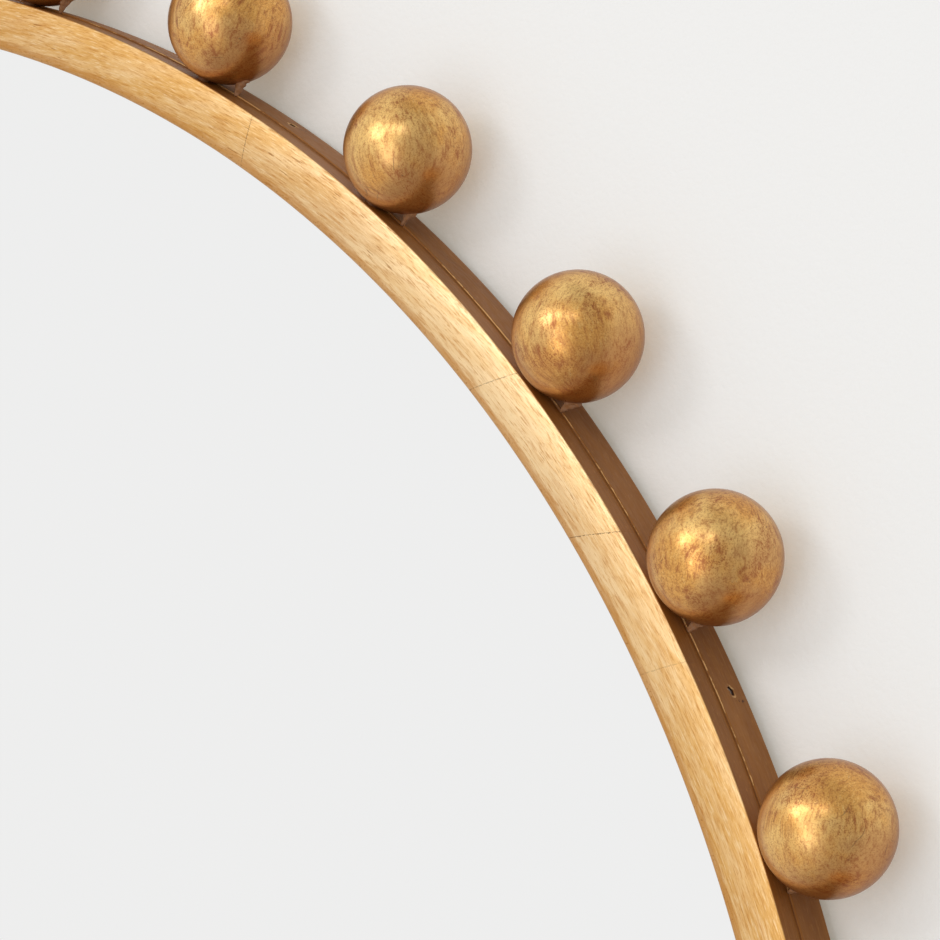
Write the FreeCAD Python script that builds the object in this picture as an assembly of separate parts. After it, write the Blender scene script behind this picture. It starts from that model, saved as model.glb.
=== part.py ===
import FreeCAD, Part
import math
import os

# A round wall mirror in a shallow gilded frame, with turned balls set round its rim.
# Sizes are millimetres.  X runs to the right, Y into the wall and Z up.
# The origin is the middle of the mirror on the wall's face, so the object lies at negative Y.

Vector = FreeCAD.Vector
ORIGIN = Vector(0, 0, 0)
AXIS_X = Vector(1, 0, 0)
AXIS_Y = Vector(0, 1, 0)

# ---- Mirror glass and backing board -------------------------------------------------
glass_diameter = 914.4          # a stock 36 inch round
glass_thickness = 4.0
glass_edge_bevel = 0.5
glass_clearance = 1.0           # radial, glass to rear ring
board_thickness = 8.0
board_clearance = 0.4           # radial, board to rear ring

# ---- Front ring ----------------------------------------------------------------------
lip_cover = 4.8                 # how far the ring reaches in over the glass
face_width = 16.2
front_ring_depth = 8.0
face_crown = 0.5                # how far the middle of the face stands above its edges
inner_roll = 1.5                # round at the sight edge
outer_round = 0.5
wall_lean = 0.4                 # the outer wall leans out by this much towards the seam

# ---- Rear ring -----------------------------------------------------------------------
rear_ring_depth = 15.0          # stock thickness of its board
seam_step = 0.6                 # the rear ring stands out past the front ring at the seam
seam_edge_bevel = 0.25
back_edge_round = 0.8

# ---- Turned balls --------------------------------------------------------------------
ball_count = 36
ball_diameter = 39.0
ball_seat_depth = 0.3           # coped off each ball, so that it sits on the rear ring
ball_height = 17.5              # ball centre in front of the frame's back face
drifted_ball_number = 6         # the one ball that was set off its even place
drift_along_rim = 3.1           # clockwise seen from the front

# ---- Dowels --------------------------------------------------------------------------
dowel_diameter = 4.0
dowel_forward = 0.8             # its axis lies this far in front of the ball's centre
dowel_length = 22.0
dowel_depth_in_ball = 12.0
dowel_end_bevel = 0.5
dowel_fit = 0.05                # radial, dowel to its holes
dowel_end_room = 0.5            # glue room past each end

# ---- Filler beads between ball and rim ------------------------------------------------
bead_offset = 11.4              # along the rim, clockwise from its ball
bead_foot_radius = 0.7
bead_head_radius = 2.4
bead_waist_share = 0.42         # how far its radius has grown halfway along; 0.5 is a straight cone
bead_reach = 7.2                # length before the ball and the rim trim it
bead_foot_sink = 1.0            # how deep it starts inside the rim before the trim

# ---- Brads that hold the backing board ------------------------------------------------
brad_count = 12
brad_first_angle = 26.2         # degrees from +X towards +Z, between two balls
brad_diameter = 1.4
brad_length = 18.0
brad_head_diameter = 2.2
brad_head_thickness = 0.6
brad_sink = 0.7                 # the head lies this far below the rim's surface
brad_setback = 7.0              # in front of the frame's back face
brad_fit = 0.02
brad_point_length = 1.8

# ---- Rubber bumpers on the backing board ----------------------------------------------
bumper_count = 4
bumper_first_angle = 45.0
bumper_thickness = 6.4
bumper_foot_radius = 9.5
bumper_top_radius = 8.6
bumper_edge_round = 1.0
bumper_circle_radius = 435.0

# ---- Strap hangers, their rings and screws --------------------------------------------
hanger_spacing = 400.0
hanger_axis_height = 300.0      # ring axis above the middle of the mirror
strap_thickness = 1.0
strap_width = 12.0
strap_length = 40.0             # below the ring axis
eye_clearance = 0.15            # radial, ring wire to rolled eye
eye_turn = 300.0                # degrees that the strap is rolled through
ring_wire_diameter = 3.0
ring_side_clearance = 0.6       # between the eye's end and the ring's corner, each side
ring_corner_radius = 2.5
ring_side_length = 1.2
strap_hole_1 = 21.0             # below the ring axis
strap_hole_2 = 33.0
strap_hole_clearance = 0.2      # radial, screw to strap
screw_diameter = 3.0
screw_length = 8.0              # under the head
screw_tip_length = 2.4
screw_head_diameter = 5.8
screw_head_height = 1.7
screw_head_rim = 0.5            # height of the head's straight side
screw_slot_width = 0.8
screw_slot_span = 3.2
screw_slot_depth = 0.9
screw_thread_fit = 0.02         # radial, screw to board

# ---- Places that follow from the sizes ------------------------------------------------
glass_radius = glass_diameter / 2
opening_radius = glass_radius - lip_cover
front_outer_radius = opening_radius + face_width
seam_radius = front_outer_radius + wall_lean
rear_outer_radius = seam_radius + seam_step
rear_inner_radius = glass_radius + glass_clearance
board_radius = rear_inner_radius - board_clearance

board_recess = rear_ring_depth - glass_thickness - board_thickness
wall_gap = bumper_thickness - board_recess
frame_back_y = -wall_gap
seam_y = frame_back_y - rear_ring_depth
front_y = seam_y - front_ring_depth
glass_front_y = seam_y
glass_back_y = glass_front_y + glass_thickness
board_front_y = glass_back_y
board_back_y = board_front_y + board_thickness

ball_radius = ball_diameter / 2
ball_circle_radius = rear_outer_radius + ball_radius - ball_seat_depth
ball_y = frame_back_y - ball_height
dowel_y = ball_y - dowel_forward
dowel_outer_end = rear_outer_radius + dowel_depth_in_ball
dowel_inner_end = dowel_outer_end - dowel_length
dowel_hole_radius = dowel_diameter / 2 + dowel_fit
brad_y = frame_back_y - brad_setback

ring_wire_radius = ring_wire_diameter / 2
eye_inner_radius = ring_wire_radius + eye_clearance
eye_outer_radius = eye_inner_radius + strap_thickness
ring_axis_y = board_back_y + eye_outer_radius
strap_back_y = board_back_y + strap_thickness


def circle_point(centre_u, centre_v, radius, degrees):
    """A point on a circle in a flat sketch, given by its angle."""
    turn = math.radians(degrees)
    return (centre_u + radius * math.cos(turn), centre_v + radius * math.sin(turn))


def sketch_face(parts, place):
    """A flat face from lines and arcs.  A part is a list of 2 points for a line or 3 for an arc."""
    edges = []
    for points in parts:
        placed = [place(u, v) for u, v in points]
        if len(placed) == 2:
            edges.append(Part.LineSegment(placed[0], placed[1]).toShape())
        else:
            edges.append(Part.Arc(placed[0], placed[1], placed[2]).toShape())
    return Part.Face(Part.Wire(edges))


def outward(shape):
    """The same solid with its faces pointing out."""
    if shape.Volume < 0:
        shape.reverse()
    return shape


def turned_about_y(parts):
    """Revolve a sketch of (radius, y) points about the mirror's own axis."""
    face = sketch_face(parts, lambda radius, y: Vector(radius, y, 0))
    return outward(face.revolve(ORIGIN, AXIS_Y, 360))


def turned_along_x(parts, y):
    """Revolve a sketch of (x, radius) points about a line along X at this y."""
    face = sketch_face(parts, lambda x, radius: Vector(x, y, radius))
    return outward(face.revolve(Vector(0, y, 0), AXIS_X, 360))


def polygon(points):
    """The sides of a closed sketch with straight sides only."""
    return [[points[i], points[(i + 1) % len(points)]] for i in range(len(points))]


def round_rim(shape, degrees):
    """A copy of a shape drawn on +X, carried round the mirror's axis towards +Z."""
    copy = shape.copy()
    copy.rotate(ORIGIN, AXIS_Y, -degrees)
    return copy


def group(solids):
    return Part.makeCompound(solids)


# ---- Rings, glass and board -----------------------------------------------------------

def ball_angles():
    """Degrees from +X towards +Z, clockwise from the top as seen from the front."""
    pitch = 360.0 / ball_count
    drift = math.degrees(drift_along_rim / ball_circle_radius)
    angles = [90.0 - pitch * index for index in range(ball_count)]
    angles[drifted_ball_number - 1] -= drift
    return angles


def brad_angles():
    return [brad_first_angle + 360.0 / brad_count * index for index in range(brad_count)]


def make_dowel_hole():
    """The hole for one dowel, from inside the front ring into the ball."""
    start = dowel_inner_end - dowel_end_room
    length = dowel_length + 2 * dowel_end_room
    return Part.makeCylinder(dowel_hole_radius, length, Vector(start, dowel_y, 0), AXIS_X)


def make_front_ring():
    edge_y = front_y + face_crown
    roll_end = opening_radius + inner_roll
    round_start = front_outer_radius - outer_round
    roll_middle = circle_point(roll_end, edge_y + inner_roll, inner_roll, 225)
    round_middle = circle_point(round_start, edge_y + outer_round, outer_round, -45)
    ring = turned_about_y([
        [(opening_radius, seam_y), (opening_radius, edge_y + inner_roll)],
        [(opening_radius, edge_y + inner_roll), roll_middle, (roll_end, edge_y)],
        [(roll_end, edge_y), ((roll_end + round_start) / 2, front_y), (round_start, edge_y)],
        [(round_start, edge_y), round_middle, (front_outer_radius, edge_y + outer_round)],
        [(front_outer_radius, edge_y + outer_round), (seam_radius, seam_y)],
        [(seam_radius, seam_y), (opening_radius, seam_y)],
    ])
    hole = make_dowel_hole()
    return ring.cut([round_rim(hole, angle) for angle in ball_angles()])


def make_rear_ring():
    round_middle = circle_point(
        rear_outer_radius - back_edge_round, frame_back_y - back_edge_round, back_edge_round, 45)
    ring = turned_about_y([
        [(rear_inner_radius, seam_y), (rear_inner_radius, frame_back_y)],
        [(rear_inner_radius, frame_back_y), (rear_outer_radius - back_edge_round, frame_back_y)],
        [(rear_outer_radius - back_edge_round, frame_back_y), round_middle,
         (rear_outer_radius, frame_back_y - back_edge_round)],
        [(rear_outer_radius, frame_back_y - back_edge_round),
         (rear_outer_radius, seam_y + seam_edge_bevel)],
        [(rear_outer_radius, seam_y + seam_edge_bevel), (rear_outer_radius - seam_edge_bevel, seam_y)],
        [(rear_outer_radius - seam_edge_bevel, seam_y), (rear_inner_radius, seam_y)],
    ])
    hole = make_brad_hole()
    return ring.cut([round_rim(hole, angle) for angle in brad_angles()])


def make_mirror_glass():
    inner = glass_radius - glass_edge_bevel
    return turned_about_y(polygon([
        (0, glass_front_y),
        (inner, glass_front_y),
        (glass_radius, glass_front_y + glass_edge_bevel),
        (glass_radius, glass_back_y - glass_edge_bevel),
        (inner, glass_back_y),
        (0, glass_back_y),
    ]))


def make_backing_board():
    board = turned_about_y(polygon([
        (0, board_front_y),
        (board_radius, board_front_y),
        (board_radius, board_back_y),
        (0, board_back_y),
    ]))
    hole = make_brad_hole()
    holes = [round_rim(hole, angle) for angle in brad_angles()]
    holes += [make_screw_hole(x, z) for x, z in screw_places()]
    return board.cut(holes)


# ---- Balls, dowels and filler beads ---------------------------------------------------

def make_ball():
    """One ball on +X, coped to the rear ring's round and drilled for its dowel."""
    centre = Vector(ball_circle_radius, ball_y, 0)
    ball = Part.makeSphere(ball_radius, centre, AXIS_X)
    rim = Part.makeCylinder(rear_outer_radius, 4 * ball_radius, centre - Vector(
        ball_circle_radius, 2 * ball_radius, 0), AXIS_Y)
    return ball.cut([rim, make_dowel_hole()])


def make_dowel():
    radius = dowel_diameter / 2
    return turned_along_x(polygon([
        (dowel_inner_end, 0),
        (dowel_inner_end, radius - dowel_end_bevel),
        (dowel_inner_end + dowel_end_bevel, radius),
        (dowel_outer_end - dowel_end_bevel, radius),
        (dowel_outer_end, radius - dowel_end_bevel),
        (dowel_outer_end, 0),
    ]), dowel_y)


def make_filler_bead():
    """A small funnel of filler on the seam, beside the ball on +X and trimmed to both."""
    foot = rear_outer_radius - bead_foot_sink
    head = foot + bead_reach
    waist_radius = bead_foot_radius + (bead_head_radius - bead_foot_radius) * bead_waist_share
    funnel = turned_along_x([
        [(foot, 0), (foot, bead_foot_radius)],
        [(foot, bead_foot_radius), ((foot + head) / 2, waist_radius), (head, bead_head_radius)],
        [(head, bead_head_radius), (head, 0)],
        [(head, 0), (foot, 0)],
    ], seam_y)
    funnel = round_rim(funnel, -math.degrees(bead_offset / rear_outer_radius))
    centre = Vector(ball_circle_radius, ball_y, 0)
    ball = Part.makeSphere(ball_radius, centre, AXIS_X)
    rear = Part.makeCylinder(rear_outer_radius, bead_reach, Vector(0, seam_y, 0), AXIS_Y)
    front = Part.makeCylinder(seam_radius, bead_reach, Vector(0, seam_y - bead_reach, 0), AXIS_Y)
    return funnel.cut([ball, rear, front])


# ---- Brads and bumpers ----------------------------------------------------------------

def make_brad():
    """A flat-headed brad on +X, driven through the rear ring into the board's edge."""
    top = rear_outer_radius - brad_sink
    under_head = top - brad_head_thickness
    tip = top - brad_length
    radius = brad_diameter / 2
    return turned_along_x(polygon([
        (tip, 0),
        (tip + brad_point_length, radius),
        (under_head, radius),
        (under_head, brad_head_diameter / 2),
        (top, brad_head_diameter / 2),
        (top, 0),
    ]), brad_y)


def make_brad_hole():
    top = rear_outer_radius - brad_sink
    under_head = top - brad_head_thickness
    tip = top - brad_length
    shank = Part.makeCylinder(brad_diameter / 2 + brad_fit, brad_length, Vector(tip, brad_y, 0), AXIS_X)
    mouth = Part.makeCylinder(
        brad_head_diameter / 2 + brad_fit, brad_head_thickness + 2 * brad_sink,
        Vector(under_head, brad_y, 0), AXIS_X)
    return shank.fuse(mouth)


def make_bumper():
    """A round rubber bumper on +X, stuck to the board with its flat top on the wall's face."""
    top_y = board_back_y + bumper_thickness
    shoulder = circle_point(
        bumper_top_radius - bumper_edge_round, top_y - bumper_edge_round, bumper_edge_round, 45)
    bumper = turned_about_y([
        [(0, board_back_y), (bumper_foot_radius, board_back_y)],
        [(bumper_foot_radius, board_back_y), (bumper_top_radius, top_y - bumper_edge_round)],
        [(bumper_top_radius, top_y - bumper_edge_round), shoulder,
         (bumper_top_radius - bumper_edge_round, top_y)],
        [(bumper_top_radius - bumper_edge_round, top_y), (0, top_y)],
        [(0, top_y), (0, board_back_y)],
    ])
    bumper.translate(Vector(bumper_circle_radius, 0, 0))
    return bumper


def bumper_angles():
    return [bumper_first_angle + 360.0 / bumper_count * index for index in range(bumper_count)]


# ---- Strap hangers --------------------------------------------------------------------

def make_strap():
    """A steel strap whose upper end is rolled into an eye, drawn with the eye's axis at x = z = 0."""
    eye_y = ring_axis_y
    end_angle = 180.0 - eye_turn
    half_turn = 180.0 - eye_turn / 2
    outer_end = circle_point(eye_y, 0, eye_outer_radius, end_angle)
    inner_end = circle_point(eye_y, 0, eye_inner_radius, end_angle)
    face = sketch_face([
        [(board_back_y, -strap_length), (board_back_y, 0)],
        [(board_back_y, 0), circle_point(eye_y, 0, eye_outer_radius, half_turn), outer_end],
        [outer_end, inner_end],
        [inner_end, circle_point(eye_y, 0, eye_inner_radius, half_turn), (strap_back_y, 0)],
        [(strap_back_y, 0), (strap_back_y, -strap_length)],
        [(strap_back_y, -strap_length), (board_back_y, -strap_length)],
    ], lambda y, z: Vector(-strap_width / 2, y, z))
    strap = outward(face.extrude(Vector(strap_width, 0, 0)))
    half = strap_width / 2
    end_centre = half - strap_length
    outline = sketch_face([
        [(-half, end_centre), (-half, 2 * eye_outer_radius)],
        [(-half, 2 * eye_outer_radius), (half, 2 * eye_outer_radius)],
        [(half, 2 * eye_outer_radius), (half, end_centre)],
        [(half, end_centre), (0, -strap_length), (-half, end_centre)],
    ], lambda x, z: Vector(x, board_back_y - strap_thickness, z))
    strap = strap.common(outline.extrude(Vector(0, 4 * eye_outer_radius, 0)))
    radius = screw_diameter / 2 + strap_hole_clearance
    for drop in (strap_hole_1, strap_hole_2):
        strap = strap.cut(Part.makeCylinder(
            radius, 3 * strap_thickness, Vector(0, board_back_y - strap_thickness, -drop), AXIS_Y))
    return strap


def make_d_ring():
    """A closed wire ring with one straight bar through the eye, hanging from x = z = 0."""
    corner = ring_corner_radius
    half_bar = strap_width / 2 + ring_side_clearance
    half_width = half_bar + corner
    side_end = -corner - ring_side_length

    def place(x, z):
        return Vector(x, ring_axis_y, z)

    right_corner = circle_point(half_bar, -corner, corner, 45)
    left_corner = circle_point(-half_bar, -corner, corner, 135)
    path = [
        Part.LineSegment(place(0, 0), place(half_bar, 0)).toShape(),
        Part.Arc(place(half_bar, 0), place(*right_corner), place(half_width, -corner)).toShape(),
        Part.LineSegment(place(half_width, -corner), place(half_width, side_end)).toShape(),
        Part.Arc(place(half_width, side_end), place(0, side_end - half_width),
                 place(-half_width, side_end)).toShape(),
        Part.LineSegment(place(-half_width, side_end), place(-half_width, -corner)).toShape(),
        Part.Arc(place(-half_width, -corner), place(*left_corner), place(-half_bar, 0)).toShape(),
        Part.LineSegment(place(-half_bar, 0), place(0, 0)).toShape(),
    ]
    section = Part.Wire([Part.Circle(place(0, 0), AXIS_X, ring_wire_radius).toShape()])
    return outward(Part.Wire(path).makePipeShell([section], True, False))


def hanger_sides():
    return {"left": -hanger_spacing / 2, "right": hanger_spacing / 2}


def screw_places():
    return [(x, hanger_axis_height - drop)
            for x in hanger_sides().values() for drop in (strap_hole_1, strap_hole_2)]


def make_screw(x, z):
    """A pan-headed screw with a cross slot, its head on the strap's back."""
    head_top = strap_back_y + screw_head_height
    radius = screw_diameter / 2
    tip = strap_back_y - screw_length
    head_radius = screw_head_diameter / 2
    rim_y = strap_back_y + screw_head_rim
    dome = (head_radius * 0.75, head_top - (head_top - rim_y) * 0.22)
    screw = turned_about_y([
        [(0, tip), (radius, tip + screw_tip_length)],
        [(radius, tip + screw_tip_length), (radius, strap_back_y)],
        [(radius, strap_back_y), (head_radius, strap_back_y)],
        [(head_radius, strap_back_y), (head_radius, rim_y)],
        [(head_radius, rim_y), dome, (0, head_top)],
        [(0, head_top), (0, tip)],
    ])
    slot_base = head_top - screw_slot_depth
    for span_x, span_z in ((screw_slot_span, screw_slot_width), (screw_slot_width, screw_slot_span)):
        screw = screw.cut(Part.makeBox(
            span_x, 2 * screw_slot_depth, span_z, Vector(-span_x / 2, slot_base, -span_z / 2)))
    screw.translate(Vector(x, 0, z))
    return screw


def make_screw_hole(x, z):
    """The hole that a screw cuts for itself in the board."""
    radius = screw_diameter / 2 + screw_thread_fit
    tip = strap_back_y - screw_length
    shoulder = tip + screw_tip_length
    point = Part.makeCone(screw_thread_fit, radius, screw_tip_length, Vector(x, tip, z), AXIS_Y)
    shank = Part.makeCylinder(radius, screw_length, Vector(x, shoulder, z), AXIS_Y)
    return shank.fuse(point)


# ---- The whole mirror -----------------------------------------------------------------

def make_parts():
    """Every piece under its own name; like fasteners share one name as a group of solids."""
    parts = {
        "front_ring": make_front_ring(),
        "rear_ring": make_rear_ring(),
        "mirror_glass": make_mirror_glass(),
        "backing_board": make_backing_board(),
    }
    ball = make_ball()
    dowel = make_dowel()
    bead = make_filler_bead()
    angles = ball_angles()
    for number, angle in enumerate(angles, 1):
        parts["ball_%02d" % number] = round_rim(ball, angle)
    parts["ball_dowels"] = group([round_rim(dowel, angle) for angle in angles])
    parts["filler_beads"] = group([round_rim(bead, angle) for angle in angles])
    brad = make_brad()
    parts["backing_brads"] = group([round_rim(brad, angle) for angle in brad_angles()])
    bumper = make_bumper()
    parts["wall_bumpers"] = group([round_rim(bumper, angle) for angle in bumper_angles()])
    strap = make_strap()
    ring = make_d_ring()
    for side, x in hanger_sides().items():
        place = Vector(x, 0, hanger_axis_height)
        parts["hanger_strap_" + side] = strap.translated(place)
        parts["d_ring_" + side] = ring.translated(place)
    parts["hanger_screws"] = group([make_screw(x, z) for x, z in screw_places()])
    return parts


def main():
    os.makedirs("parts", exist_ok=True)
    for name, shape in make_parts().items():
        shape.exportStep("parts/%s.step" % name)
        print("%-20s solids %2d  valid %s  volume %.1f mm3" % (
            name, len(shape.Solids), shape.isValid(), shape.Volume))


main()
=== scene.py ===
import math

import bmesh
import bpy
import numpy as np
from mathutils import Matrix, Vector


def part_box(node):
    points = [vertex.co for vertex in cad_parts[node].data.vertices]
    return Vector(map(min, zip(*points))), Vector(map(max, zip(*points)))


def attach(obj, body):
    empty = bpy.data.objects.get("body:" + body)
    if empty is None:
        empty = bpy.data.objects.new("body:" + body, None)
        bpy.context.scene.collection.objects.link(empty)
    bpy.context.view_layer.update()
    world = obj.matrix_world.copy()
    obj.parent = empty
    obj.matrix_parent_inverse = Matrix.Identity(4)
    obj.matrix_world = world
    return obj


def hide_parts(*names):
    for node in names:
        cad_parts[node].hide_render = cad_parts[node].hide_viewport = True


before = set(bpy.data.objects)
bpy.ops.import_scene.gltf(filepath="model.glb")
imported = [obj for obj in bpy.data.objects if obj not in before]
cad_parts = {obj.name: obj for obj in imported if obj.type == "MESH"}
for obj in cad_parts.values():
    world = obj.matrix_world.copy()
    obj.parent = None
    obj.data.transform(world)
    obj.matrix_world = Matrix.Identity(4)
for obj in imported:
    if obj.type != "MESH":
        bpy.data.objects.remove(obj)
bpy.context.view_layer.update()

# The looks of a round gilded wall mirror with turned balls round its rim.
# Lengths are metres.  X runs to the right, Y into the wall and Z up; the wall's face is at y = 0.
# An angle round the rim is counted from +X towards +Z.

bl_info = {
    "name": "Gilded ball mirror",
    "version": (1, 0, 0),
    "blender": (4, 5, 0),
    "location": "View3D > Sidebar > Mirror",
    "description": "Gilded rings, balls, filler dabs, glass and back of a round ball mirror",
    "category": "Object",
}

MM = 0.001


def node_points(name):
    """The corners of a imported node's mesh as rows of x, y, z."""
    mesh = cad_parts[name].data
    points = np.empty(3 * len(mesh.vertices), np.float32)
    mesh.vertices.foreach_get("co", points)
    return points.reshape(-1, 3).astype(float)


def node_radii(name):
    """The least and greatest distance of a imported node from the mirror's axis."""
    points = node_points(name)
    radii = np.hypot(points[:, 0], points[:, 2])
    return float(radii.min()), float(radii.max())


OPENING_RADIUS, SEAM_RADIUS = node_radii("front_ring")
REAR_INNER_RADIUS, REAR_RADIUS = node_radii("rear_ring")
FRONT_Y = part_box("front_ring")[0].y
SEAM_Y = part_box("front_ring")[1].y
BACK_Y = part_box("rear_ring")[1].y
BALL_NODES = sorted(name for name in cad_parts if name.startswith("ball_") and name[5:].isdigit())
BALL_RADIUS = (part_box("ball_01")[1].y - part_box("ball_01")[0].y) / 2
BALL_Y = (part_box("ball_01")[1].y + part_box("ball_01")[0].y) / 2
BALL_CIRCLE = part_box("ball_01")[1].z - BALL_RADIUS
BALL_PITCH = 2 * math.pi / len(BALL_NODES)
BRAD_Y = (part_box("backing_brads")[1].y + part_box("backing_brads")[0].y) / 2
BRAD_TOP = node_radii("backing_brads")[1]
BRAD_COUNT = 12
FRONT_STEPS = 1440
REAR_STEPS = 720
# The side's mesh is close as far as this from each brad, and in this many rows and columns.
CLOSE_REACH = 3.2 * MM
CLOSE_ROWS = 34

# Laps of the leaf on the face in one quarter: the angle in degrees at mid face, the lean in degrees for
# each millimetre outwards, and the strength.
LAPS = ((56.35, -0.037, 0.7), (40.7, 0.07, 0.6), (33.3, 0.075, 0.9), (27.6, 0.037, 0.35))


# ---- What a user would change ---------------------------------------------------------

def length_property(name, description, default):
    return bpy.props.FloatProperty(
        name=name, description=description, default=default, min=0.0, subtype="DISTANCE", unit="LENGTH")


def colour_property(name, description, default):
    return bpy.props.FloatVectorProperty(
        name=name, description=description, default=default, size=3, min=0.0, max=1.0, subtype="COLOR")


def share_property(name, description, default):
    return bpy.props.FloatProperty(name=name, description=description, default=default, min=0.0, max=1.0)


def watts_property(name, description, default):
    return bpy.props.FloatProperty(name=name, description=description + ", in watts", default=default)


class RimSizes(bpy.types.PropertyGroup):
    face_crown: length_property("Face crown", "How far the face's middle stands above its edges", 0.5 * MM)
    sight_roll: length_property("Sight edge roll", "Radius of the roll beside the glass", 1.5 * MM)
    outer_round: length_property("Outer edge round", "Radius of the face's outer edge", 0.5 * MM)
    wall_lean: length_property("Wall lean", "How far the front ring's wall leans out", 0.4 * MM)
    seam_bevel: length_property("Seam bevel", "Bevel on the rear ring's front edge", 0.15 * MM)
    back_round: length_property("Back edge round", "Radius of the rear ring's back edge", 0.8 * MM)
    brad_hole: length_property("Brad hole", "Radius of the hole over each brad", 1.15 * MM)
    brad_hole_depth: length_property("Brad hole depth", "Depth of the hole over each brad", 2.0 * MM)
    dab_offset: length_property("Dab offset", "From a ball's middle to its filler dab, along the rim", 11.4 * MM)
    dab_head: length_property("Dab head", "Radius of a filler dab inside the ball", 2.6 * MM)
    dab_waist: length_property("Dab waist", "Radius of a filler dab where it meets the rim", 0.6 * MM)


class LeafColours(bpy.types.PropertyGroup):
    face: colour_property("Face", "Burnished gold of the face", (0.70, 0.39, 0.115))
    # The pale face colour is also the painted sheen round the middle of each quarter of the face.
    face_pale: colour_property("Face, pale", "Thin rubbed leaf on the face", (0.90, 0.66, 0.37))
    face_ochre: colour_property("Face, ochre", "Toned streaks on the face", (0.48, 0.20, 0.038))
    side: colour_property("Side", "Brown toning on the rim's side", (0.345, 0.135, 0.026))
    side_pale: colour_property("Side, pale", "Thinner toning on the side", (0.47, 0.205, 0.052))
    side_dark: colour_property("Side, dark", "Deepest toning on the side", (0.16, 0.056, 0.012))
    seam: colour_property("Seam", "Bare gold on the seam's worn edge", (0.80, 0.50, 0.21))
    ball: colour_property("Ball", "Burnished gold of the balls", (0.76, 0.375, 0.070))
    ball_pale: colour_property("Ball, pale", "Rubbed gold of the balls", (0.94, 0.60, 0.190))
    # The toned ball colour is also the painted shade towards each ball's lower right.
    ball_brown: colour_property("Ball, toned", "Orange brown toning of the balls", (0.34, 0.092, 0.008))
    # The next colour is a painted shade along each ball's outline.
    ball_edge: colour_property("Ball, edge", "Dull brown seen along the balls' outline", (0.24, 0.090, 0.034))
    filler: colour_property("Filler", "Dull pinkish brown of the filler dabs", (0.36, 0.185, 0.095))
    line: colour_property("Lines", "Hairlines, specks and pits", (0.050, 0.017, 0.006))


class StageSettings(bpy.types.PropertyGroup):
    wall: colour_property("Wall", "The wall's paint", (0.700, 0.722, 0.765))
    wall_glow: colour_property("Wall glow", "What the camera sees of the wall beside its paint", (0.24, 0.218, 0.172))
    surroundings: share_property("Surroundings", "What the camera and the glass see", 0.872)
    dim_side: share_property("Dim side", "What the gold sees on the room's unlit side, as a share", 0.62)
    ambient: share_property("Ambient", "Even light from all round", 0.62)
    band: watts_property("Band", "Broad soft light from the left", 9.0)
    key: watts_property("Key", "Window light from the upper left", 8.5)
    second: watts_property("Second", "Window light from above", 2.6)
    bridge: watts_property("Bridge", "Light between the windows", 3.0)


# ---- Building shader trees ------------------------------------------------------------

def put(tree, kind, inputs=None, **settings):
    """Add a node, set its options, and feed its inputs with numbers or other nodes' outputs."""
    node = tree.nodes.new(kind)
    for name, value in settings.items():
        setattr(node, name, value)
    for name, value in (inputs or {}).items():
        if isinstance(value, bpy.types.NodeSocket):
            tree.links.new(value, node.inputs[name])
        else:
            node.inputs[name].default_value = value
    return node


def maths(tree, operation, first, second=None, clamp=False):
    values = {0: first} if second is None else {0: first, 1: second}
    return put(tree, "ShaderNodeMath", values, operation=operation, use_clamp=clamp).outputs[0]


def times(tree, first, second):
    return maths(tree, "MULTIPLY", first, second)


def plus(tree, first, second):
    return maths(tree, "ADD", first, second)


def minus(tree, first, second):
    return maths(tree, "SUBTRACT", first, second)


def object_place(tree):
    """The place of a point on its object, in metres."""
    return put(tree, "ShaderNodeTexCoord").outputs["Object"]


def seen_rays(tree, path):
    """1 for the camera's, mirrored and transmitted rays and 0 for the rest; path is a light path's outputs."""
    return maths(tree, "MAXIMUM", path["Is Camera Ray"],
                 maths(tree, "MAXIMUM", path["Is Glossy Ray"], path["Is Transmission Ray"]))


def joined(tree, x, y, z):
    return put(tree, "ShaderNodeCombineXYZ", {0: x, 1: y, 2: z}).outputs[0]


def split(tree, vector):
    return put(tree, "ShaderNodeSeparateXYZ", {0: vector}).outputs


def step(tree, value, low, high, start=0.0, end=1.0):
    """A smooth step from start to end as value goes from low to high."""
    return put(tree, "ShaderNodeMapRange", {
        "Value": value, "From Min": low, "From Max": high, "To Min": start, "To Max": end,
    }, interpolation_type="SMOOTHSTEP").outputs[0]


def colour(value):
    return (*value, 1.0)


def blend(tree, share, first, second):
    """Mix two colours; share 0 gives the first."""
    return put(tree, "ShaderNodeMix", {0: share, 6: first, 7: second}, data_type="RGBA").outputs[2]


def layered(tree, base, layers):
    """Lay tints over a base; each layer is a value, its step's low and high ends, the full share and the tint."""
    for value, low, high, most, tint in layers:
        base = blend(tree, step(tree, value, low, high, 0.0, most), base, colour(tint))
    return base


def blend_value(tree, share, first, second):
    """Mix two numbers; share 0 gives the first."""
    return put(tree, "ShaderNodeMix", {0: share, 2: first, 3: second}, data_type="FLOAT").outputs[0]


def noise(tree, vector, scale, detail=3.0, roughness=0.5, layer=None):
    """Fractal noise from 0 to 1; layer is a fourth coordinate."""
    inputs = {"Vector": vector, "Scale": scale, "Detail": detail, "Roughness": roughness}
    if layer is not None:
        inputs["W"] = layer
    return put(tree, "ShaderNodeTexNoise", inputs,
               noise_dimensions="3D" if layer is None else "4D").outputs["Fac"]


def stretched(tree, vector, scale, turn=(0.0, 0.0, 0.0)):
    return put(tree, "ShaderNodeMapping", {"Vector": vector, "Rotation": turn, "Scale": scale}).outputs[0]


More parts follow.
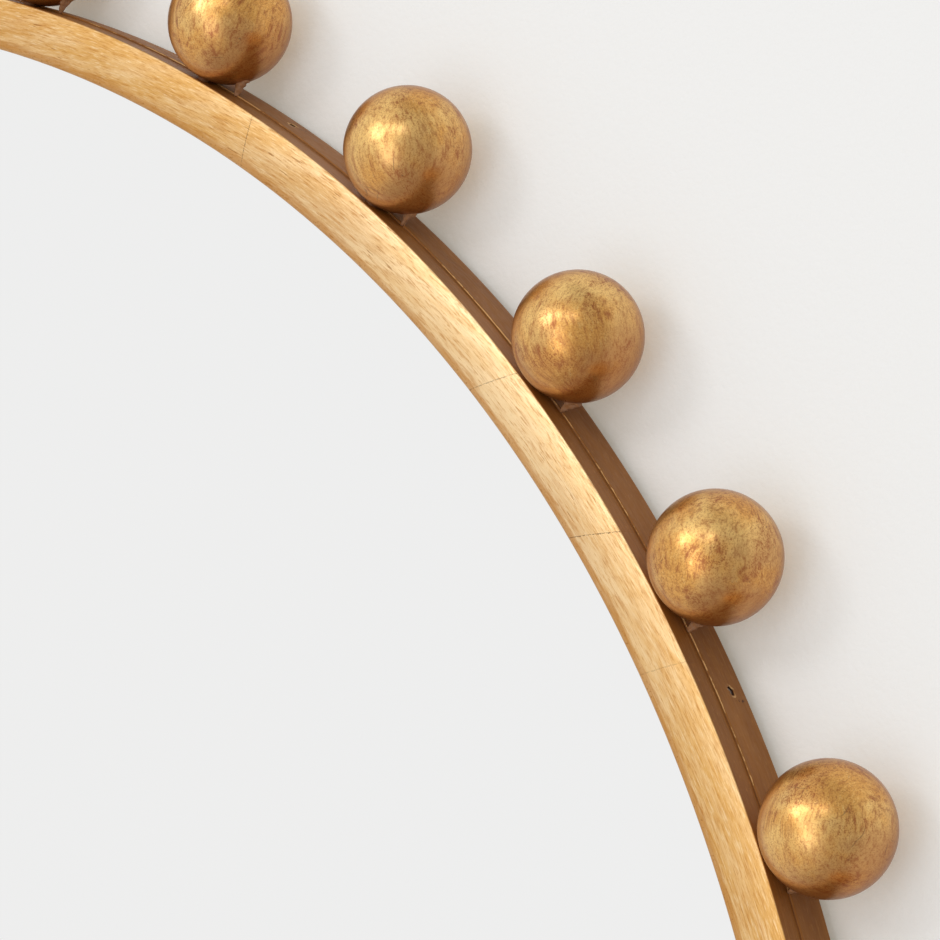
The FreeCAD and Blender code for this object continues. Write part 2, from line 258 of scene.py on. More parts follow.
def new_group(name, inputs, outputs):
    """An empty node group with named sockets; returns its tree, the values given to it and its results."""
    tree = bpy.data.node_groups.new(name, "ShaderNodeTree")
    kinds = {"value": "NodeSocketFloat", "vector": "NodeSocketVector", "colour": "NodeSocketColor"}
    for socket, kind, default in inputs:
        made = tree.interface.new_socket(socket, in_out="INPUT", socket_type=kinds[kind])
        made.default_value = default
    for socket, kind in outputs:
        tree.interface.new_socket(socket, in_out="OUTPUT", socket_type=kinds[kind])
    return tree, tree.nodes.new("NodeGroupInput").outputs, tree.nodes.new("NodeGroupOutput").inputs


def use_group(tree, group, inputs=None):
    return put(tree, "ShaderNodeGroup", inputs, node_tree=group).outputs


def stored_group(build):
    """The group that a build function makes, made once."""
    name = build.__name__
    return bpy.data.node_groups.get(name) or build(name)


# ---- Shared effects -------------------------------------------------------------------

def rim_coordinates(name):
    """Place on the rim: distance from the axis, distance in front of the wall, and streak coordinates.

    The streak coordinates are the direction from the axis times Around, the radius times Across, and the
    depth times Across as a fourth one, so a noise on them is drawn out along the rim and has no seam.
    Slant turns the streaks: the angle is shifted with the radius.
    """
    tree, given, result = new_group(name, [
        ("Around", "value", 18.0), ("Across", "value", 1200.0), ("Slant", "value", 0.0)], [
        ("Streak", "vector"), ("Layer", "value"), ("Radius", "value"), ("Front", "value"), ("Angle", "value")])
    place = object_place(tree)
    x, y, z = split(tree, place)
    radius = put(tree, "ShaderNodeVectorMath", {0: joined(tree, x, 0.0, z)}, operation="LENGTH").outputs["Value"]
    angle = maths(tree, "ARCTAN2", z, x)
    shift = times(tree, minus(tree, radius, OPENING_RADIUS), given["Slant"])
    turned = plus(tree, angle, shift)
    streak = joined(
        tree,
        times(tree, maths(tree, "COSINE", turned), given["Around"]),
        times(tree, maths(tree, "SINE", turned), given["Around"]),
        times(tree, radius, given["Across"]))
    front = times(tree, y, -1.0)
    for socket, value in (("Streak", streak), ("Layer", times(tree, front, given["Across"])),
                          ("Radius", radius), ("Front", front), ("Angle", angle)):
        tree.links.new(value, result[socket])
    return tree


def ball_coordinates(name):
    """Place on a ball from its middle, in units of its radius.

    Centred has the mirror's own axes, and Local runs outward from the rim, clockwise along it and to the
    front. The ball is found from the angle round the rim, rounded to the balls' pitch. Chance is a number
    of its own for each ball.
    """
    tree, _, result = new_group(name, [], [("Local", "vector"), ("Centred", "vector"), ("Chance", "value")])
    place = object_place(tree)
    x, y, z = split(tree, place)
    steps = maths(tree, "ROUND", maths(tree, "DIVIDE", maths(tree, "ARCTAN2", z, x), BALL_PITCH))
    angle = times(tree, steps, BALL_PITCH)
    cosine = maths(tree, "COSINE", angle)
    sine = maths(tree, "SINE", angle)
    outward = plus(tree, times(tree, x, cosine), times(tree, z, sine))
    clockwise = minus(tree, times(tree, x, sine), times(tree, z, cosine))
    unit = 1.0 / BALL_RADIUS
    local = joined(
        tree,
        times(tree, minus(tree, outward, BALL_CIRCLE), unit),
        times(tree, clockwise, unit),
        times(tree, minus(tree, BALL_Y, y), unit))
    centred = joined(
        tree,
        times(tree, minus(tree, x, times(tree, cosine, BALL_CIRCLE)), unit),
        times(tree, minus(tree, y, BALL_Y), unit),
        times(tree, minus(tree, z, times(tree, sine, BALL_CIRCLE)), unit))
    chance = put(tree, "ShaderNodeTexWhiteNoise", {"W": steps}, noise_dimensions="1D").outputs["Value"]
    tree.links.new(local, result["Local"])
    tree.links.new(centred, result["Centred"])
    tree.links.new(chance, result["Chance"])
    return tree


def pitted(name):
    """Small pits and specks: dots of a cell noise, kept only where a coarser noise is high."""
    tree, given, result = new_group(name, [
        ("Vector", "vector", (0.0, 0.0, 0.0)), ("Scale", "value", 400.0), ("Amount", "value", 0.5)], [
        ("Mask", "value")])
    cells = put(tree, "ShaderNodeTexVoronoi", {"Vector": given["Vector"], "Scale": given["Scale"]})
    picked = put(tree, "ShaderNodeSeparateColor", {0: cells.outputs["Color"]}).outputs[0]
    size = step(tree, picked, minus(tree, 1.0, given["Amount"]), 1.0, 0.0, 0.45)
    dots = step(tree, cells.outputs["Distance"], size, times(tree, size, 0.35))
    dots = times(tree, dots, maths(tree, "GREATER_THAN", size, 0.02))
    tree.links.new(dots, result["Mask"])
    return tree


def hairlines(name):
    """Fine cracks: the borders of large bent cells, kept where a slow noise is high."""
    tree, given, result = new_group(name, [
        ("Vector", "vector", (0.0, 0.0, 0.0)), ("Scale", "value", 1.0), ("Width", "value", 0.010),
        ("Kept", "value", 0.60)], [("Mask", "value")])
    bend = put(tree, "ShaderNodeTexNoise", {
        "Vector": given["Vector"], "Scale": times(tree, given["Scale"], 2.5), "Detail": 3.0})
    bent = put(tree, "ShaderNodeVectorMath", {
        0: given["Vector"], 1: put(tree, "ShaderNodeVectorMath", {
            0: bend.outputs["Color"], "Scale": 0.16}, operation="SCALE").outputs[0]}, operation="ADD").outputs[0]
    cells = put(tree, "ShaderNodeTexVoronoi", {"Vector": bent, "Scale": given["Scale"]},
                feature="DISTANCE_TO_EDGE")
    line = step(tree, cells.outputs["Distance"], given["Width"], 0.0)
    slow = noise(tree, given["Vector"], times(tree, given["Scale"], 1.6), 2.0)
    kept = step(tree, slow, given["Kept"], plus(tree, given["Kept"], 0.06))
    tree.links.new(times(tree, line, kept), result["Mask"])
    return tree


def plated(name):
    """Zinc plate: fine drawn lines and soft clouding."""
    tree, given, result = new_group(name, [
        ("Colour", "colour", (0.6, 0.6, 0.6, 1.0)), ("Stretch", "vector", (1.0, 1.0, 1.0))], [
        ("Colour", "colour"), ("Roughness", "value"), ("Height", "value")])
    place = object_place(tree)
    lines = noise(tree, put(tree, "ShaderNodeVectorMath", {0: place, 1: given["Stretch"]},
                            operation="MULTIPLY").outputs[0], 900.0, 4.0, 0.6)
    clouds = noise(tree, place, 160.0, 4.0, 0.6)
    dull = blend(tree, step(tree, clouds, 0.42, 0.66), given["Colour"], (0.30, 0.28, 0.25, 1.0))
    shaded = blend(tree, step(tree, lines, 0.35, 0.7, 0.0, 0.5), dull, given["Colour"])
    tree.links.new(shaded, result["Colour"])
    tree.links.new(step(tree, clouds, 0.35, 0.7, 0.28, 0.5), result["Roughness"])
    tree.links.new(lines, result["Height"])
    return tree


# ---- Materials ------------------------------------------------------------------------

def new_material(material, base, roughness, metallic=0.0, height=None, bump=0.0, depth=MM, **constants):
    """Finish a material with a Principled surface.

    Base, roughness and metallic are numbers or node outputs, height is a node output whose bump has that
    strength and depth, and the constants are set on the shader's sockets of their names.
    """
    tree = material.node_tree
    shader = put(tree, "ShaderNodeBsdfPrincipled", {
        "Base Color": base, "Roughness": roughness, "Metallic": metallic})
    for socket, value in constants.items():
        shader.inputs[socket.replace("_", " ").title().replace("Ior", "IOR")].default_value = value
    if height is not None:
        relief = put(tree, "ShaderNodeBump", {"Height": height, "Strength": bump, "Distance": depth})
        tree.links.new(relief.outputs[0], shader.inputs["Normal"])
    output = put(tree, "ShaderNodeOutputMaterial")
    tree.links.new(shader.outputs[0], output.inputs["Surface"])
    return material


def fresh(name):
    """An empty material and its node tree."""
    material = bpy.data.materials.new(name)
    material.use_nodes = True
    material.node_tree.nodes.clear()
    return material, material.node_tree


def rim_noise(tree, around, across, slant=0.0, detail=3.0, roughness=0.55):
    """Noise drawn out along the rim: around is cells per radian and across is cells per metre."""
    found = use_group(tree, stored_group(rim_coordinates), {"Around": around, "Across": across, "Slant": slant})
    return noise(tree, found["Streak"], 1.0, detail, roughness, found["Layer"]), found


def leaf_laps(tree, angle, radius, wobble):
    """Thin dark lines across the face where two leaves of gold lap, the same in each quarter of the rim."""
    quarter = maths(tree, "FLOORED_MODULO", angle, math.pi / 2)
    from_middle = minus(tree, radius, (OPENING_RADIUS + SEAM_RADIUS) / 2)
    total = None
    for degrees, lean, strength in LAPS:
        place = plus(tree, minus(tree, quarter, math.radians(degrees)),
                      times(tree, from_middle, math.radians(lean) / MM))
        bent = plus(tree, place, times(tree, minus(tree, wobble, 0.5), 0.0022))
        line = step(tree, maths(tree, "ABSOLUTE", bent), 0.00050, 0.00012, 0.0, strength)
        total = line if total is None else plus(tree, total, line)
    return times(tree, total, step(tree, wobble, 0.40, 0.52, 0.25, 1.0))


def gilded_rim_material(colours):
    """Gold leaf on the face with slanting streaks and a painted sheen round the middle of each quarter, orange on the
    sight roll, painted shade on the sight wall down to the glass, and brown toning on the wall.
    """
    made, tree = fresh("gold_leaf_rim")
    slant = 8.0
    streak, found = rim_noise(tree, 46.0, 1250.0, slant)
    fine, _ = rim_noise(tree, 120.0, 2300.0, slant, 3.0, 0.65)
    dash, _ = rim_noise(tree, 70.0, 1300.0, slant, 2.0, 0.5)
    cloud, _ = rim_noise(tree, 26.0, 150.0, slant)
    tone, _ = rim_noise(tree, 5.0, 30.0, 0.0, 2.0)
    radius, front = found["Radius"], found["Front"]
    place = object_place(tree)
    speck = noise(tree, place, 1500.0, 2.0, 0.6)

    # Painted sheen: the leaf is laid paler round the middle of each quarter of the face, where a light's reflection
    # falls; the cloud's paler leaf is added to it.
    quarter = maths(tree, "FLOORED_MODULO", found["Angle"], math.pi / 2)
    painted_sheen = step(tree, maths(tree, "ABSOLUTE", minus(tree, quarter, math.radians(41.5))),
                  math.radians(18.0), math.radians(5.0), 0.0, 0.60)
    pale = maths(tree, "ADD", step(tree, cloud, 0.38, 0.66, 0.05, 0.50), painted_sheen, clamp=True)
    gold = blend(tree, pale, colour(colours.face), colour(colours.face_pale))
    gold = layered(tree, gold, (
        (tone, 0.50, 0.66, 0.30, colours.face_ochre),
        (streak, 0.50, 0.72, 0.45, colours.face_ochre), (streak, 0.46, 0.28, 0.35, colours.face_pale),
        (fine, 0.50, 0.70, 0.70, colours.face_ochre), (fine, 0.48, 0.32, 0.70, colours.face_pale)))
    dark = times(tree, step(tree, dash, 0.64, 0.72), step(tree, tone, 0.46, 0.58, 0.25, 1.0))
    gold = blend(tree, times(tree, dark, 0.80), gold, colour(colours.side))

    reach = plus(tree, OPENING_RADIUS + 1.2 * MM, times(tree, streak, 3.6 * MM))
    sight = step(tree, minus(tree, radius, reach), 0.7 * MM, -1.2 * MM)
    gold = blend(tree, times(tree, sight, 0.62), gold, colour(colours.face_ochre))
    spots = times(tree, step(tree, speck, 0.60, 0.70),
                  step(tree, radius, OPENING_RADIUS + 4.5 * MM, OPENING_RADIUS + 0.6 * MM, 0.10, 0.75))
    gold = blend(tree, spots, gold, colour(colours.side))
    laps = leaf_laps(tree, found["Angle"], radius, speck)
    gold = blend(tree, times(tree, laps, 0.8), gold, colour(colours.line))
    # Painted shade: the sight edge's inner wall, from below the roll down to the glass, is darkened towards the line
    # colour.
    painted_sight_wall_shade = step(tree, front, -FRONT_Y - 1.4 * MM, -FRONT_Y - 3.0 * MM)

    brown = side_colour(tree, colours)
    uneven = times(tree, fine, 0.35 * MM)
    wall = times(tree,
                 step(tree, radius, SEAM_RADIUS - 1.1 * MM, SEAM_RADIUS - 0.8 * MM),
                 step(tree, plus(tree, front, uneven), -FRONT_Y - 0.45 * MM, -FRONT_Y - 0.70 * MM))
    shade = blend(tree, wall, blend(tree, times(tree, painted_sight_wall_shade, 0.7), gold, colour(colours.line)), brown)
    relief = minus(tree, plus(tree, streak, times(tree, fine, 0.6)),
                   plus(tree, times(tree, dark, 0.5), laps))
    return new_material(
        made, shade, step(tree, fine, 0.3, 0.7, 0.34, 0.48),
        minus(tree, 0.70, times(tree, wall, 0.55)),
        relief, 0.45, 0.12 * MM, specular_ior_level=0.22)


def side_colour(tree, colours):
    """Brown toned leaf of the rim's side, with fine lines along the rim and darker clouds."""
    line, _ = rim_noise(tree, 30.0, 1500.0, 0.0, 4.0, 0.6)
    cloud, _ = rim_noise(tree, 12.0, 60.0, 0.0)
    fleck, _ = rim_noise(tree, 220.0, 1500.0, 0.0, 3.0, 0.6)
    return layered(tree, colour(colours.side), (
        (cloud, 0.36, 0.70, 0.45, colours.side_dark),
        (line, 0.50, 0.74, 0.35, colours.side_dark), (line, 0.46, 0.28, 0.30, colours.side_pale),
        (fleck, 0.56, 0.72, 0.45, colours.side_pale)))


def brad_dents(tree, angle, front):
    """Ragged dents of the hammer's slips, behind each brad hole on its clockwise side."""
    pitch = 2 * math.pi / BRAD_COUNT
    shifted = plus(tree, angle, pitch / 2 - float(brad_angles()[0]))
    from_brad = minus(tree, maths(tree, "FLOORED_MODULO", shifted, pitch), pitch / 2)
    along = plus(tree, times(tree, from_brad, REAR_RADIUS / MM), 3.0)
    across = minus(tree, maths(tree, "DIVIDE", minus(tree, -BRAD_Y, front), MM), 2.4)
    reach = put(tree, "ShaderNodeVectorMath", {
        0: joined(tree, along, times(tree, across, 0.42), 0.0)}, operation="LENGTH").outputs["Value"]
    ragged = noise(tree, object_place(tree), 900.0, 2.0, 0.6)
    return times(tree, step(tree, reach, 1.2, 0.7), step(tree, ragged, 0.53, 0.58, 0.0, 0.85))


def toned_side_material(colours):
    """Brown toned side of the rear ring with bare gold flecks along its worn front edge and at its holes, and painted
    shade inside the holes.
    """
    made, tree = fresh("toned_rim_side")
    flecks, found = rim_noise(tree, 130.0, 900.0, 0.0, 3.0, 0.6)
    wear, _ = rim_noise(tree, 7.0, 0.0, 0.0, 1.0)
    radius, front = found["Radius"], found["Front"]
    brown = side_colour(tree, colours)
    behind_seam = minus(tree, -SEAM_Y, front)
    worn = plus(tree, wear, times(tree, flecks, 0.8))
    reach = step(tree, worn, 0.74, 1.15, -0.12 * MM, 0.35 * MM)
    edge = step(tree, minus(tree, behind_seam, reach), 0.06 * MM, -0.06 * MM)
    corner = step(tree, radius, REAR_RADIUS - 0.32 * MM, REAR_RADIUS - 0.16 * MM)
    bare = times(tree, edge, corner)
    shade = blend(tree, times(tree, bare, 0.8), brown, colour(colours.seam))
    groove = times(tree, step(tree, behind_seam, 0.10 * MM, 0.0),
                   step(tree, radius, REAR_RADIUS - 0.18 * MM, REAR_RADIUS - 0.34 * MM))
    shade = blend(tree, times(tree, groove, 0.6), shade, colour(colours.side_dark))
    on_side = step(tree, behind_seam, 0.8 * MM, 1.2 * MM)
    chips = times(tree, step(tree, radius, REAR_RADIUS - 0.02 * MM, REAR_RADIUS - 0.05 * MM), on_side)
    shade = blend(tree, times(tree, chips, step(tree, flecks, 0.40, 0.55)), shade, colour(colours.seam))
    # Painted shade: the inside of each brad hole is darkened towards the line colour.
    inside = times(tree, step(tree, radius, REAR_RADIUS - 0.12 * MM, REAR_RADIUS - 0.24 * MM), on_side)
    shade = blend(tree, maths(tree, "MAXIMUM", inside, brad_dents(tree, found["Angle"], front)),
                  shade, colour(colours.line))
    return new_material(
        made, shade, step(tree, flecks, 0.3, 0.7, 0.45, 0.60),
        plus(tree, 0.15, times(tree, bare, 0.4)), flecks, 0.25, 0.1 * MM,
        specular_ior_level=0.22)


def gilded_ball_material(colours):
    """Burnished leaf: curved strokes from rubbing, worn patches with scratches, hairlines and pits, brown
    toning with painted shade towards each ball's lower right, and painted shade along its outline.

    The strokes are a noise drawn out along the mirror's height, whose place is turned about the balls' own
    middles by a slow noise, so that they bend; each ball has its own layer of every noise.
    """
    made, tree = fresh("gilded_ball")
    found = use_group(tree, stored_group(ball_coordinates))
    centred, chance = found["Centred"], found["Chance"]
    layer = times(tree, chance, 90.0)
    slow = noise(tree, centred, 0.9, 1.0, 0.5, layer)
    turn = times(tree, minus(tree, slow, 0.5), 2.4)
    swayed = put(tree, "ShaderNodeVectorRotate", {
        "Vector": centred, "Axis": (0.59, -0.80, -0.12), "Angle": turn}, rotation_type="AXIS_ANGLE").outputs[0]
    strokes = noise(tree, stretched(tree, swayed, (1.0, 1.0, 0.34)), 13.0, 5.0, 0.68, layer)
    fine = noise(tree, stretched(tree, swayed, (1.0, 1.0, 0.30), (0.25, 0.2, 0.0)), 34.0, 3.0, 0.65, layer)
    grain = noise(tree, centred, 42.0, 3.0, 0.65, layer)
    cloud = noise(tree, centred, 1.5, 3.0, 0.55, layer)
    patch = noise(tree, centred, 1.9, 2.0, 0.5, plus(tree, layer, 7.0))
    worn = step(tree, plus(tree, patch, times(tree, strokes, 0.25)), 0.62, 0.76)

    gold = blend(tree, step(tree, cloud, 0.38, 0.62), colour(colours.ball), colour(colours.ball_pale))
    gold = layered(tree, gold, (
        (strokes, 0.46, 0.70, 0.72, colours.ball_brown), (strokes, 0.47, 0.30, 0.60, colours.ball_pale),
        (fine, 0.50, 0.70, 0.60, colours.ball_brown),
        (grain, 0.48, 0.66, 0.55, colours.ball_brown), (grain, 0.46, 0.32, 0.50, colours.ball_pale)))
    # Painted shade: the brown toning is laid thicker towards each ball's lower right, away from the lamps at the
    # upper left, on top of the cloud's random toning.
    low = put(tree, "ShaderNodeVectorMath", {0: centred, 1: (0.42, 0.0, -0.90)},
              operation="DOT_PRODUCT").outputs["Value"]
    toning = plus(tree, times(tree, low, 0.45), times(tree, cloud, 0.9))
    gold = blend(tree, step(tree, toning, 0.45, 0.95, 0.0, 0.70), gold, colour(colours.ball_brown))
    scratches = times(tree, worn, maths(
        tree, "MAXIMUM", step(tree, strokes, 0.50, 0.64, 0.25, 1.0), step(tree, grain, 0.52, 0.60)))
    gold = blend(tree, times(tree, scratches, 0.85), gold, colour(colours.ball_brown))
    pits = use_group(tree, stored_group(pitted), {"Vector": centred, "Scale": 16.0, "Amount": 0.20})["Mask"]
    pits = times(tree, pits, step(tree, patch, 0.52, 0.66, 0.05, 1.0))
    gold = blend(tree, times(tree, pits, 0.60), gold, colour(colours.line))
    shifted = put(tree, "ShaderNodeVectorMath", {0: centred, 1: joined(tree, layer, layer, 0.0)},
                  operation="ADD").outputs[0]
    crack = use_group(tree, stored_group(hairlines), {"Vector": shifted})["Mask"]
    gold = blend(tree, times(tree, crack, 0.45), gold, colour(colours.line))
    # Painted shade: a dull brown is laid along each ball's outline, where its surface turns away from the camera.
    edge = put(tree, "ShaderNodeLayerWeight", {"Blend": 0.35}).outputs["Facing"]
    gold = blend(tree, step(tree, edge, 0.30, 0.95, 0.0, 0.85), gold, colour(colours.ball_edge))
    relief = minus(tree, plus(tree, strokes, times(tree, fine, 0.4)),
                   plus(tree, times(tree, pits, 0.5), times(tree, crack, 0.6)))
    return new_material(
        made, gold, step(tree, strokes, 0.3, 0.7, 0.27, 0.38), 0.78, relief, 0.22, 0.1 * MM,
        specular_tint=(0.74, 0.48, 0.29, 1.0), coat_weight=0.55, coat_roughness=0.27, coat_ior=1.7)


def filler_material(colours):
    """Dull lumpy filler with the side's brown in its hollows."""
    made, tree = fresh("gilded_filler")
    place = object_place(tree)
    lumps = noise(tree, place, 900.0, 4.0, 0.6)
    shade = blend(tree, step(tree, lumps, 0.40, 0.66, 0.0, 0.6), colour(colours.filler), colour(colours.side))
    return new_material(made, shade, 0.7, 0.0, lumps, 0.5, 0.3 * MM)


def glass_material():
    """Silvered glass: a clean mirror with the faintest clouding in its roughness."""
    made, tree = fresh("silvered_glass")
    place = object_place(tree)
    haze = noise(tree, place, 6.0, 2.0)
    tint = blend(tree, haze, (0.985, 0.985, 0.985, 1.0), (0.975, 0.98, 0.98, 1.0))
    return new_material(made, tint, step(tree, haze, 0.2, 0.8, 0.0, 0.012), 1.0)


def board_material():
    """Bare fibreboard: short pale and dark fibres over an even brown."""
    made, tree = fresh("backing_board")
    place = object_place(tree)
    fibre_1 = noise(tree, stretched(tree, place, (1.0, 1.0, 0.12), (0.0, 0.5, 0.0)), 900.0, 3.0, 0.6)
    fibre_2 = noise(tree, stretched(tree, place, (1.0, 1.0, 0.12), (0.0, -0.9, 0.0)), 800.0, 3.0, 0.6)
    cloud = noise(tree, place, 9.0, 4.0, 0.55)
    shade = blend(tree, step(tree, cloud, 0.35, 0.65), (0.36, 0.235, 0.135, 1.0), (0.43, 0.29, 0.175, 1.0))
    shade = layered(tree, shade, (
        (fibre_1, 0.52, 0.72, 0.6, (0.22, 0.13, 0.07)), (fibre_2, 0.55, 0.75, 0.6, (0.58, 0.44, 0.29))))
    return new_material(made, shade, 0.82, 0.0, plus(tree, fibre_1, fibre_2), 0.3, 0.15 * MM)


def rubber_material():
    """Matt black rubber with a little dust."""
    made, tree = fresh("bumper_rubber")
    place = object_place(tree)
    grain = noise(tree, place, 1500.0, 3.0, 0.6)
    dust = noise(tree, place, 120.0, 4.0, 0.6)
    shade = layered(tree, (0.022, 0.022, 0.022, 1.0), ((dust, 0.5, 0.75, 0.5, (0.10, 0.095, 0.085)),))
    return new_material(made, shade, step(tree, grain, 0.3, 0.7, 0.62, 0.80), 0.0, grain, 0.3, 0.08 * MM)


def plated_material(name, tint, stretch):
    made, tree = fresh(name)
    plate = use_group(tree, stored_group(plated), {"Colour": tint, "Stretch": stretch})
    return new_material(made, plate["Colour"], plate["Roughness"], 0.9, plate["Height"], 0.2, 0.03 * MM)


def dowel_material(colours):
    """Bare birch with its grain along each dowel's length, and the rim's toning on it outside the rim."""
    made, tree = fresh("dowel_wood")
    grain, rim = rim_noise(tree, 900.0, 60.0, 0.0, 3.0, 0.6)
    shade = blend(tree, step(tree, grain, 0.35, 0.7), (0.62, 0.45, 0.27, 1.0), (0.42, 0.27, 0.14, 1.0))
    toned = step(tree, rim["Radius"], SEAM_RADIUS - 0.9 * MM, SEAM_RADIUS - 0.6 * MM)
    shade = blend(tree, toned, shade, colour(colours.side_dark))
    return new_material(made, shade, 0.7, 0.0, grain, 0.2, 0.1 * MM)


def dress(piece, material):
    """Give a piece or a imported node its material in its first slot."""
    if piece.data.materials:
        piece.data.materials[0] = material
    else:
        piece.data.materials.append(material)


# ---- Surfaces -------------------------------------------------------------------------

def grid_faces(rows, columns, closed_rows=True, closed_columns=True):
    """Quads of a grid of points, whose last row and column may join the first."""
    row = np.arange(rows if closed_rows else rows - 1)
    column = np.arange(columns if closed_columns else columns - 1)
    i, j = np.meshgrid(row, column, indexing="ij")
    down, right = (i + 1) % rows, (j + 1) % columns
    return np.stack([i * columns + j, i * columns + right, down * columns + right, down * columns + j],
                    axis=-1).reshape(-1, 4)


def new_piece(name, points, faces, body="frame"):
    """A smooth mesh object that rides on a body; faces are rows of four corner numbers."""
    mesh = bpy.data.meshes.new(name)
    mesh.from_pydata(points.reshape(-1, 3), [], faces)
    mesh.polygons.foreach_set("use_smooth", np.ones(len(mesh.polygons), bool))
    mesh.update()
    piece = bpy.data.objects.new(name, mesh)
    bpy.context.scene.collection.objects.link(piece)
    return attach(piece, body)


def arc(centre, radius, start, end, count):
    """Points on an arc of a profile; centre is (radius, y) and angles are degrees."""
    turn = np.radians(np.linspace(start, end, count))
    return np.stack([centre[0] + radius * np.cos(turn), centre[1] + radius * np.sin(turn)], axis=1)


def line(start, end, count):
    """Points on a straight stretch, closer together at its ends, which keeps the corners' shading crisp."""
    share = (1 - np.cos(np.linspace(0, np.pi, count))) / 2
    return np.outer(1 - share, start) + np.outer(share, end)


def front_profile(sizes):
    """The front ring's section from the glass round the sight roll, face and wall to the seam."""
    edge_y = FRONT_Y + sizes.face_crown
    roll, outer = sizes.sight_roll, sizes.outer_round
    wall_radius = SEAM_RADIUS - sizes.wall_lean
    start, end = OPENING_RADIUS + roll, wall_radius - outer
    half = (end - start) / 2
    crown_radius = (half ** 2 + sizes.face_crown ** 2) / (2 * sizes.face_crown)
    lean = math.degrees(math.asin(half / crown_radius))
    crown = arc((start + half, FRONT_Y + crown_radius), crown_radius, -90 - lean, -90 + lean, 19)
    return np.concatenate([
        line((OPENING_RADIUS, SEAM_Y), (OPENING_RADIUS, edge_y + roll), 8)[:-1],
        arc((start, edge_y + roll), roll, 180, 270, 9)[:-1],
        crown,
        arc((end, edge_y + outer), outer, -90, 0, 6)[1:],
        line((wall_radius, edge_y + outer), (SEAM_RADIUS, SEAM_Y), 10)[1:],
        line((SEAM_RADIUS, SEAM_Y), (OPENING_RADIUS, SEAM_Y), 8)[1:-1],
    ])


def carried_round(profile, angles):
    """A section of (radius, y) points carried round the mirror's axis: x = r cos a, z = r sin a.

    The profile is one section for all angles, or one for each.
    """
    radius, depth = profile[..., 0], profile[..., 1]
    turn = angles[:, None]
    return np.stack([radius * np.cos(turn), np.broadcast_to(depth, (len(angles), profile.shape[-2])),
                     radius * np.sin(turn)], axis=-1)


def make_front_ring(sizes):
    """The front ring: its section carried once round in even steps."""
    profile = front_profile(sizes)
    angles = np.linspace(0, 2 * np.pi, FRONT_STEPS, endpoint=False)
    points = carried_round(profile, angles)
    piece = new_piece("gilded_front_ring", points, grid_faces(len(angles), len(profile)))
    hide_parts("front_ring")
    return piece


def brad_angles():
    """The angles of the brads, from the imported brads' own points near their heads."""
    points = node_points("backing_brads")
    turns = np.arctan2(points[:, 2], points[:, 0])
    heads = np.hypot(points[:, 0], points[:, 2]) > BRAD_TOP - 0.1 * MM
    first = np.angle(np.mean(np.exp(1j * turns[heads] * BRAD_COUNT))) / BRAD_COUNT
    return first + 2 * np.pi / BRAD_COUNT * np.arange(BRAD_COUNT)


def rear_profile(sizes):
    """The rear ring's section: seam bevel, side with close rows at the brads, back round, back and inside."""
    bevel, back = sizes.seam_bevel, sizes.back_round
    side_top, side_end = SEAM_Y + bevel, BACK_Y - back
    close_top, close_end = BRAD_Y - CLOSE_REACH, BRAD_Y + CLOSE_REACH
    rows = np.concatenate([
        np.linspace(side_top, close_top, 10), np.linspace(close_top, close_end, CLOSE_ROWS)[1:],
        np.linspace(close_end, side_end, 4)[1:]])
    side = np.stack([np.full(len(rows), REAR_RADIUS), rows], axis=1)
    return np.concatenate([
        line((REAR_INNER_RADIUS, SEAM_Y), (REAR_RADIUS - bevel, SEAM_Y), 7)[:-1],
        line((REAR_RADIUS - bevel, SEAM_Y), (REAR_RADIUS, side_top), 4)[:-1],
        side,
        arc((REAR_RADIUS - back, side_end), back, 0, 90, 7)[1:],
        line((REAR_RADIUS - back, BACK_Y), (REAR_INNER_RADIUS, BACK_Y), 8)[1:],
        line((REAR_INNER_RADIUS, BACK_Y), (REAR_INNER_RADIUS, SEAM_Y), 5)[1:-1],
    ])


def make_rear_ring(sizes):
    """The rear ring: its section carried round, with a pit pressed in over each brad.

    Every side point is moved towards the axis by the pit's depth times a steep step of its distance from
    the nearest brad, and the distance is uneven, so that each hole has a torn outline.
    """
    profile = rear_profile(sizes)
    brads = brad_angles()
    close = np.linspace(-CLOSE_REACH, CLOSE_REACH, CLOSE_ROWS) / REAR_RADIUS
    even = np.linspace(0, 2 * np.pi, REAR_STEPS, endpoint=False)
    gap = np.abs(np.angle(np.exp(1j * (even[:, None] - brads[None, :])))).min(axis=1)
    angles = np.sort(np.concatenate([even[gap > (CLOSE_REACH + 0.2 * MM) / REAR_RADIUS],
                                     (brads[:, None] + close[None, :]).ravel()]) % (2 * np.pi))
    sections = np.broadcast_to(profile, (len(angles), *profile.shape)).copy()
    nearest = np.abs(np.angle(np.exp(1j * (angles[:, None] - brads[None, :])))).argmin(axis=1)
    along = np.angle(np.exp(1j * (angles - brads[nearest]))) * REAR_RADIUS
    across = sections[..., 1] - BRAD_Y
    along = np.broadcast_to(along[:, None], across.shape)
    seed = brads[nearest][:, None]
    turn = np.arctan2(across, along)
    ragged = 1 + 0.22 * np.sin(2 * turn + 5 * seed) + 0.14 * np.sin(3 * turn + 9 * seed) \
        + 0.08 * np.sin(5 * turn + 17 * seed)
    distance = np.hypot(along, across) / ragged
    edge = np.clip((sizes.brad_hole * 1.12 - distance) / (sizes.brad_hole * 0.24), 0, 1)
    lip = np.exp(-((distance - sizes.brad_hole * 1.45) / (sizes.brad_hole * 0.3)) ** 2)
    outer = (sections[..., 0] > REAR_RADIUS - 0.05 * MM) & (np.abs(across) < CLOSE_REACH - 0.1 * MM)
    pressed = sizes.brad_hole_depth * edge * edge * (3 - 2 * edge) + 0.05 * MM * lip
    sections[..., 0] -= np.where(outer, pressed, 0.0)
    points = carried_round(sections, angles)
    piece = new_piece("toned_rear_ring", points, grid_faces(len(angles), len(profile)))
    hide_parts("rear_ring")
    return piece


def ball_angles():
    """Each ball's angle round the rim, from the middle of its packed box."""
    middles = [(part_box(name)[0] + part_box(name)[1]) / 2 for name in BALL_NODES]
    return np.array([math.atan2(middle.z, middle.x) for middle in middles])


